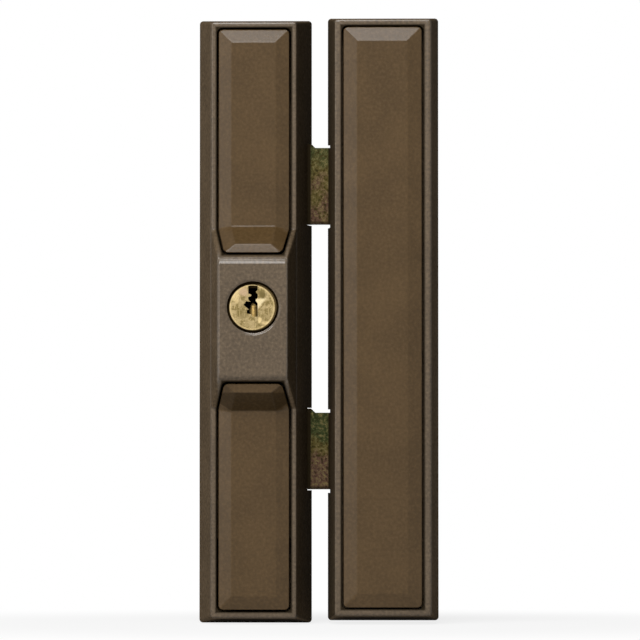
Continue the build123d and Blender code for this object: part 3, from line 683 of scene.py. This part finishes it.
def put(name, vertices, faces, key, body):
    """Put a shape into the scene: it rides on a body and takes a finish."""
    mesh = bpy.data.meshes.new(name)
    mesh.from_pydata(vertices, [], faces)
    mesh.materials.append(finish(key))
    mesh.shade_smooth()
    mesh.set_sharp_from_angle(angle=SMOOTH_ANGLE)
    piece = bpy.data.objects.new(name, mesh)
    bpy.context.scene.collection.objects.link(piece)
    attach(piece, body)
    return piece


def smooth_copy(node, key, body, edge):
    """A merged copy of a CAD node with its flat faces joined and its sharp edges rounded."""
    same_place = 0.002 * MM
    same_plane = math.radians(0.4)
    name = node + "_dressed"
    mesh = bpy.data.meshes.new(name)
    work = bmesh.new()
    work.from_mesh(frame["nodes"][node].data)
    bmesh.ops.remove_doubles(work, verts=work.verts, dist=same_place)
    bmesh.ops.dissolve_limit(work, angle_limit=same_plane, verts=work.verts, edges=work.edges)
    work.to_mesh(mesh)
    work.free()
    mesh.materials.clear()
    mesh.materials.append(finish(key))
    mesh.shade_smooth()
    mesh.set_sharp_from_angle(angle=EDGE_ANGLE)
    piece = bpy.data.objects.new(name, mesh)
    bpy.context.scene.collection.objects.link(piece)
    rounding = piece.modifiers.new("Edges", "BEVEL")
    rounding.width = edge
    rounding.segments = 3
    rounding.limit_method = "ANGLE"
    rounding.angle_limit = EDGE_ANGLE
    rounding.harden_normals = True
    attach(piece, body)
    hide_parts(node)
    return piece


def stations(start, end, peaks, coarse, fine, reach):
    """Places from start to end whose spacing narrows from coarse to fine near each peak:
    the spacing's inverse is summed along the way, and whole numbers of that sum are kept."""
    samples = 4001
    along = np.linspace(start, end, samples)
    density = np.full_like(along, 1 / coarse)
    for peak in peaks:
        density = density + (1 / fine - 1 / coarse) * np.exp(-((along - peak) / reach) ** 2)
    total = np.concatenate([[0], np.cumsum((density[1:] + density[:-1]) / 2 * np.diff(along))])
    count = int(np.ceil(total[-1]))
    return np.interp(np.linspace(0, total[-1], count + 1), total, along)


def lower_of(one, other, crease):
    """The lower of two heights. Where they differ by less than the crease, the result dips
    below both by a quarter of the crease times the square of how near they are."""
    near = np.maximum(crease - np.abs(one - other), 0) / crease
    return np.minimum(one, other) - near * near * crease / 4


def upper_of(one, other, crease):
    """The upper of two heights, with the hollow between them rounded in the same way."""
    return -lower_of(-one, -other, crease)


class LockCap:
    """The form of a cap on the lock case. z runs from the pad to the far end."""

    def __init__(self, sizes):
        self.sizes = sizes
        self.start = sizes.pad_end
        self.end = sizes.outer_end
        self.half = sizes.half_width
        self.run = sizes.bevel_run
        self.creases = (self.start + self.run * math.cos(sizes.ramp_angle),
                        sizes.ramp_foot + sizes.bevel_rise * math.tan(sizes.ramp_angle / 2),
                        self.end - self.run)

    def half_width(self, z):
        """Half the width: less on the ramp, where the drafted flanks come closer."""
        climb = np.maximum(self.sizes.ramp_foot - z, 0) * math.tan(self.sizes.ramp_angle)
        return self.half - climb * math.tan(self.sizes.flank_angle)

    def height(self, x, z):
        """The field's plane, lowered to the bevels' planes at its edges, then raised to the
        same form laid on the ramp, where heights count square to the slope. The hollow where
        the ramp begins is rounded more than the creases are."""
        s = self.sizes
        hollow = 2.5 * s.crease
        slope = s.bevel_rise / self.run
        side = (self.half_width(z) - np.abs(x)) * slope
        flat = lower_of(lower_of(side, (self.end - z) * slope, s.crease), s.bevel_rise, s.crease)
        tilt = s.ramp_angle
        near_end = (z - self.start) / math.cos(tilt) * slope
        steep = lower_of(lower_of(side, near_end, s.crease), s.bevel_rise, s.crease)
        ramp = (s.ramp_foot - z) * math.tan(tilt) + steep / math.cos(tilt)
        return s.rim_height + upper_of(flat, ramp, hollow)


class StrikeCap:
    """The form of the strike's cap: one flat field with a bevel all round."""

    def __init__(self, sizes):
        self.sizes = sizes
        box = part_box("strike_cover")
        self.end = (box[1][2] - box[0][2]) / 2
        self.start = -self.end
        self.half = sizes.strike_half_width
        self.run = sizes.strike_bevel_run
        self.creases = (self.start + self.run, self.end - self.run)

    def half_width(self, z):
        return np.full_like(z, self.half)

    def height(self, x, z):
        """The field's plane, lowered to the four bevels' planes at its edges."""
        s = self.sizes
        slope = s.bevel_rise / self.run
        side = lower_of((self.half - np.abs(x)) * slope, (self.end - np.abs(z)) * slope, s.crease)
        return s.rim_height + lower_of(side, s.bevel_rise, s.crease)


def cap_grid(form, grow, rows, steps):
    """Points of the cap's plan, grown or shrunk by a margin. Rows run across at each z. The
    columns near the sides keep their distance from them, and the rest share what is left.
    Near the ends the rows shorten to a quarter circle, so the plan's corners are round."""
    least_corner = 0.4 * MM
    side_band = 6 * MM
    corner = max(form.sizes.corner + grow, least_corner)
    share = (rows - rows[0]) / (rows[-1] - rows[0])
    z = form.start - grow + share * (form.end - form.start + 2 * grow)
    from_end = np.minimum(z - z[0], z[-1] - z)
    inside = np.clip(corner - from_end, 0, corner)
    width = form.half_width(z) + grow - (corner - np.sqrt(corner ** 2 - inside ** 2))
    kept = np.minimum(steps, side_band)
    beyond = (steps - kept) / (steps[-1] - kept[-1])
    half = (width[:, None] - kept) * (1 - beyond)
    x = np.concatenate([-half, half[:, -2::-1]], axis=1)
    return x, np.repeat(z[:, None], x.shape[1], axis=1)


def rim(grid):
    """The values round the edge of a grid, in order, anticlockwise."""
    return np.concatenate([grid[0, :-1], grid[:-1, -1], grid[-1, :0:-1], grid[:0:-1, 0]])


def cap_shell(form):
    """A closed moulding: the outer face, a rounded edge, a skirt whose foot is broken, and an
    inner face that is the outer one lowered by the wall. Edge rows follow the rim of a grid
    grown by the sine of an angle and lowered by its cosine."""
    s = form.sizes
    fine, reach, broken = 0.22 * MM, 0.8 * MM, 0.2 * MM
    edge_rows = 4
    spread = np.linspace(0, form.run, 5)
    peaks = (*(form.start + spread), *form.creases, *(form.end - spread))
    rows = stations(form.start, form.end, peaks, 2.2 * MM, fine, reach)
    steps = stations(0, form.half, spread, 1.4 * MM, fine, reach)
    tilt = math.atan(s.bevel_rise / form.run)
    inset = s.edge * (1 - math.sin(tilt))
    x, z = cap_grid(form, -inset, rows, steps)
    top = form.height(x, z)
    loops = []
    for angle in np.linspace(tilt, math.pi / 2, edge_rows + 1)[1:]:
        grown = s.edge * (math.sin(angle) - math.sin(tilt)) - inset
        gx, gz = cap_grid(form, grown, rows, steps)
        loops.append((rim(gx), rim(gz), rim(top) - s.edge * (math.cos(tilt) - math.cos(angle))))
    foot = s.rim_height - s.skirt
    for grown, height in ((0, foot + broken), (-broken, foot), (-s.wall, foot)):
        gx, gz = cap_grid(form, grown, rows, steps)
        loops.append((rim(gx), rim(gz), np.full(rim(gx).shape, height)))
    ix, iz = cap_grid(form, -s.wall, rows, steps)
    inner = form.height(ix, iz) - s.wall
    return (x, z, top), loops, (ix, iz, inner)


def shell_mesh(shell, centre, turn):
    """Vertices and faces of a shell. turn is 1, or -1 for half a turn in the window's plane."""
    outer, loops, inner = shell
    layers = [outer, *loops, inner]
    flat = [np.stack([x.ravel() * turn + centre[0], -height.ravel(),
                      z.ravel() * turn + centre[1]], axis=1)
            for x, z, height in layers]
    vertices = np.concatenate(flat)
    starts = np.cumsum([0] + [len(part) for part in flat])
    rows, columns = outer[0].shape
    index = np.arange(rows * columns).reshape(rows, columns)
    quads = np.stack([index[:-1, :-1], index[:-1, 1:], index[1:, 1:], index[1:, :-1]],
                     axis=-1).reshape(-1, 4)
    rings = [rim(index)]
    rings += [starts[k + 1] + np.arange(len(loop[0])) for k, loop in enumerate(loops)]
    rings.append(rim(index) + starts[-2])
    faces = [quads, quads[:, ::-1] + starts[-2]]
    for upper, lower in zip(rings, rings[1:]):
        faces.append(np.stack([np.roll(upper, -1), upper, lower, np.roll(lower, -1)], axis=1))
    return vertices.tolist(), np.concatenate(faces).tolist()


def push_in_legs(name, places, body):
    """Tapered legs under a cap, one at each place across and up: a six sided outline with its
    root in the cap, its shoulders and its tip, carried along the leg's length."""
    root, shoulder, tip = 19.4 * MM, 11.8 * MM, 9.75 * MM
    half_tip, half_length = 0.4 * MM, 2.5 * MM
    outline = np.array([(-LEG_HALF, root), (LEG_HALF, root), (LEG_HALF, shoulder),
                        (half_tip, tip), (-half_tip, tip), (-LEG_HALF, shoulder)])
    sides = len(outline)
    side = np.arange(sides)
    after = (side + 1) % sides
    around = np.stack([side, side + sides, after + sides, after], axis=1)
    vertices = []
    faces = []
    for x, z in places:
        first = len(vertices)
        for end in (z - half_length, z + half_length):
            points = np.stack([outline[:, 0] + x, -outline[:, 1], np.full(sides, end)], axis=1)
            vertices += points.tolist()
        faces += (around + first).tolist()
        faces += [(side + first).tolist(), (side[::-1] + sides + first).tolist()]
    legs = put(name, vertices, faces, "cap_plastic", body)
    rounding = legs.modifiers.new("Edges", "BEVEL")
    rounding.width = 0.15 * MM
    rounding.segments = 2
    return legs


def keyway_bridge(plug):
    """The strip of brass that closes the keyway at the top of the plug's face: part of a ring
    about the plug's axis, from one angle to another. Its section's four corners are carried
    along the arc, and the two ends are closed."""
    inner, outer, depth = 7.35 * MM, 7.72 * MM, 0.8 * MM
    corners = ((inner, 0), (outer, 0), (outer, depth), (inner, depth))
    angle = np.radians(np.linspace(78, 102, 9))
    centre = middle(plug)
    rings = [np.stack([centre[0] + radius * np.cos(angle), np.full(len(angle), plug[0][1] + back),
                       centre[1] + radius * np.sin(angle)], axis=1)
             for radius, back in corners]
    index = np.arange(len(corners) * len(angle)).reshape(len(corners), -1)
    around = np.roll(index, -1, axis=0)
    faces = np.stack([index[:, :-1], index[:, 1:], around[:, 1:], around[:, :-1]], axis=-1)
    ends = [index[::-1, 0].tolist(), index[:, -1].tolist()]
    return put("keyway_bridge", np.concatenate(rings).tolist(),
               faces.reshape(-1, 4).tolist() + ends, "brass", "lock_plug")


def soft_light(name, place, aim, size, power):
    """A rectangular soft box at a place, turned to the aim."""
    data = bpy.data.lights.new(name, "AREA")
    data.shape = "RECTANGLE"
    data.size, data.size_y = size
    data.energy = power
    light = bpy.data.objects.new(name, data)
    light.location = place
    light.rotation_euler = (aim - light.location).to_track_quat("-Z", "Y").to_euler()
    bpy.context.scene.collection.objects.link(light)


def world_light(scene, ambient):
    """Light from all round, which the camera and mirror rays see as white."""
    world = bpy.data.worlds.new("studio")
    world.use_nodes = True
    world.node_tree.nodes.clear()
    start = Value(world.node_tree)
    strength = ambient + seen_plainly(start) * (1.0 - ambient)
    light = start.add("ShaderNodeBackground", None,
                      {"Color": (1.0, 1.0, 1.0, 1.0), "Strength": strength})
    start.add("ShaderNodeOutputWorld", None, {"Surface": light})
    scene.world = world


def floor_sheet(ground):
    """A plain square floor under the lock, twelve metres wide."""
    half = 6
    corners = [(-half, -half, ground), (half, -half, ground),
               (half, half, ground), (-half, half, ground)]
    mesh = bpy.data.meshes.new("floor")
    mesh.from_pydata(corners, [], [(0, 1, 2, 3)])
    mesh.materials.append(finish("floor"))
    floor = bpy.data.objects.new("floor", mesh)
    bpy.context.scene.collection.objects.link(floor)


def studio_camera(stage, aim):
    """A camera at the stage's angles and distance from the aim, turned to it."""
    data = bpy.data.cameras.new("camera")
    data.lens = stage.lens
    data.sensor_width = 36
    data.clip_end = 50
    camera = bpy.data.objects.new("camera", data)
    level = math.cos(stage.elevation) * stage.distance
    camera.location = aim + Vector((math.sin(stage.azimuth) * level,
                                    -math.cos(stage.azimuth) * level,
                                    math.sin(stage.elevation) * stage.distance))
    camera.rotation_euler = (aim - camera.location).to_track_quat("-Z", "Y").to_euler()
    bpy.context.scene.collection.objects.link(camera)
    bpy.context.scene.camera = camera


class LOCK_OT_housings(bpy.types.Operator):
    """Dress the die cast housings of the lock case and the strike"""

    bl_idname = "lock.housings"
    bl_label = "Housings"

    def execute(self, context):
        edge = context.scene.lock_edges.casting
        smooth_copy("lock_housing", "case_paint", "lock_case", edge)
        smooth_copy("strike_housing", "strike_paint", "strike_box", edge)
        return {"FINISHED"}


class LOCK_OT_caps(bpy.types.Operator):
    """Mould the three bevelled caps with their push in legs"""

    bl_idname = "lock.caps"
    bl_label = "Caps"

    def execute(self, context):
        sizes = context.scene.lock_caps
        shell = cap_shell(LockCap(sizes))
        leg_x = sizes.half_width - sizes.wall - LEG_HALF
        for name, body, turn in (("upper", "cap_upper", 1), ("lower", "cap_lower", -1)):
            cap = put(name + "_cap", *shell_mesh(shell, (0, 0), turn), "cap_plastic", body)
            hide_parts(name + "_cover")
            places = [(side * leg_x, turn * z) for side in (-1, 1) for z in CASE_LEGS]
            push_in_legs(name + "_cap_legs", places, body)
        centre = middle(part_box("strike_cover"))
        strike = shell_mesh(cap_shell(StrikeCap(sizes)), centre, 1)
        cap = put("strike_cap", *strike, "cap_plastic", "cap_strike")
        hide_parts("strike_cover")
        leg_x = sizes.strike_half_width - sizes.wall - LEG_HALF
        places = [(centre[0] + side * leg_x, centre[1] + end * z)
                  for side in (-1, 1) for end in (-1, 1) for z in STRIKE_LEGS]
        push_in_legs("strike_cap_legs", places, "cap_strike")
        return {"FINISHED"}


class LOCK_OT_cylinder(bpy.types.Operator):
    """Dress the brass plug and its pins, and bridge the keyway's top"""

    bl_idname = "lock.cylinder"
    bl_label = "Cylinder"

    def execute(self, context):
        edge = context.scene.lock_edges.brass
        smooth_copy("key_plug", "brass", "lock_plug", edge)
        smooth_copy("key_pins", "pin_brass", "lock_plug", edge)
        keyway_bridge(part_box("key_plug"))
        return {"FINISHED"}


class LOCK_OT_steel(bpy.types.Operator):
    """Dress the bolts and the plates that close the backs"""

    bl_idname = "lock.steel"
    bl_label = "Bolts and plates"

    def execute(self, context):
        edge = context.scene.lock_edges.steel
        for node in ("upper_bolt", "lower_bolt"):
            smooth_copy(node, "bolt_chromate", "bolt_slide", edge)
        smooth_copy("back_plate", "yellow_chromate", "lock_case", edge)
        smooth_copy("strike_keeper", "yellow_chromate", "strike_box", edge)
        return {"FINISHED"}


class LOCK_OT_inner_pieces(bpy.types.Operator):
    """Give the pieces inside their finishes"""

    bl_idname = "lock.inner_pieces"
    bl_label = "Inner pieces"

    def execute(self, context):
        slots = {part["node"]: part["material_slot"] for part in frame["record"]["subparts"]}
        for node, piece in frame["nodes"].items():
            piece.data.materials.clear()
            piece.data.materials.append(finish(slots[node]))
        return {"FINISHED"}


class LOCK_OT_stage(bpy.types.Operator):
    """Set up the floor, the studio lights and the camera"""

    bl_idname = "lock.stage"
    bl_label = "Stage"

    def execute(self, context):
        stage = context.scene.lock_stage
        aim = Vector((stage.aim_x, 0, stage.aim_z))
        clearance = 0.2 * MM
        floor_sheet(cad_bounds[0][2] - clearance)
        studio_camera(stage, aim)
        powers = {"key": stage.key_power, "fill": stage.fill_power, "corner": stage.corner_power}
        for name, (place, size) in LIGHTS.items():
            soft_light(name + "_light", place, aim, size, powers[name])
        world_light(context.scene, stage.ambient)
        context.scene.view_settings.view_transform = "Standard"
        return {"FINISHED"}


class LOCK_PT_panel(bpy.types.Panel):
    """Lists the lock's pieces and their sizes"""

    bl_idname = "LOCK_PT_panel"
    bl_label = "Window Lock"
    bl_space_type = "VIEW_3D"
    bl_region_type = "UI"
    bl_category = "Lock"

    def draw(self, context):
        for operator in OPERATORS:
            self.layout.operator(operator.bl_idname)
        for group in (context.scene.lock_caps, context.scene.lock_edges,
                      context.scene.lock_finishes, context.scene.lock_stage):
            box = self.layout.box()
            for name in group.__annotations__:
                box.prop(group, name)


OPERATORS = (LOCK_OT_housings, LOCK_OT_caps, LOCK_OT_cylinder, LOCK_OT_steel,
             LOCK_OT_inner_pieces, LOCK_OT_stage)
SETTINGS = {"lock_caps": LockCapSettings, "lock_edges": LockEdgeSettings,
            "lock_finishes": LockFinishSettings, "lock_stage": LockStageSettings}


def register():
    for group in (*SETTINGS.values(), *OPERATORS, LOCK_PT_panel):
        bpy.utils.register_class(group)
    for name, group in SETTINGS.items():
        setattr(bpy.types.Scene, name, bpy.props.PointerProperty(type=group))


def unregister():
    for name in SETTINGS:
        delattr(bpy.types.Scene, name)
    for group in (LOCK_PT_panel, *reversed(OPERATORS), *SETTINGS.values()):
        bpy.utils.unregister_class(group)


def main():
    """Make every piece in turn."""
    register()
    bpy.ops.lock.inner_pieces()
    bpy.ops.lock.housings()
    bpy.ops.lock.caps()
    bpy.ops.lock.cylinder()
    bpy.ops.lock.steel()
    bpy.ops.lock.stage()


if __name__ == "__main__":
    main()
